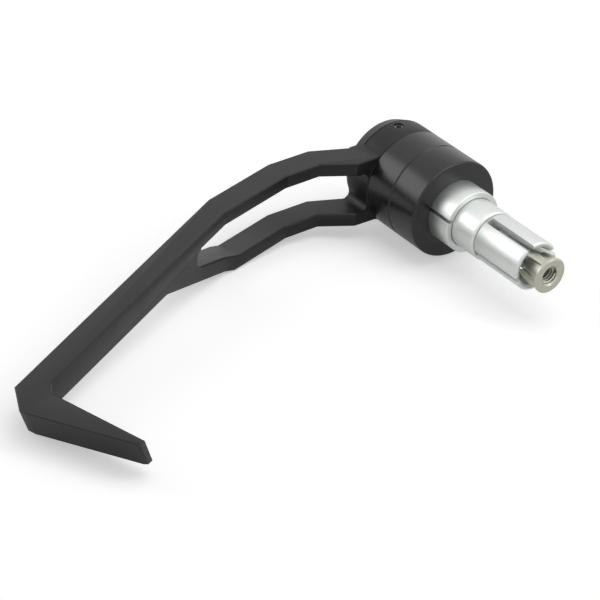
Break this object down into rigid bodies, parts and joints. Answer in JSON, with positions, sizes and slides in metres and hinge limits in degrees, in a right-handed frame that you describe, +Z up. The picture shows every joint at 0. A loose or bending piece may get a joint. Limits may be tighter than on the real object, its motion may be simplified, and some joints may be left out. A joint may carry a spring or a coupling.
{
  "type": "lever guard",
  "caption": "Motorcycle lever guard: a forked black aluminium arm with a turned foot, clamped on a bar-end mount that grips the handlebar's bore with an expanding slotted collet and cone nut.",
  "frame": {"origin": "on the hub axis, at the stop that meets the handlebar's end", "axes": "+X along the handlebar toward its inside, the arm points toward -Y, +Z up"},
  "size_m": [0.106, 0.2004, 0.038],
  "materials": {
    "black_anodised": "satin",
    "bright_aluminium": "satin",
    "nickel_plate": "satin",
    "zinc_steel": "satin"
  },
  "bodies": {
    "root": {"guard_arm": "black_anodised", "spacer_ring": "black_anodised", "weight_body": "black_anodised", "set_screw": "zinc_steel", "clamp_screw": "zinc_steel", "screw_washer": "zinc_steel", "bar_sleeve": "bright_aluminium", "adapter_sleeve": "bright_aluminium", "expander_collet": "bright_aluminium", "cone_nut": "nickel_plate"}
  },
  "joints": []
}
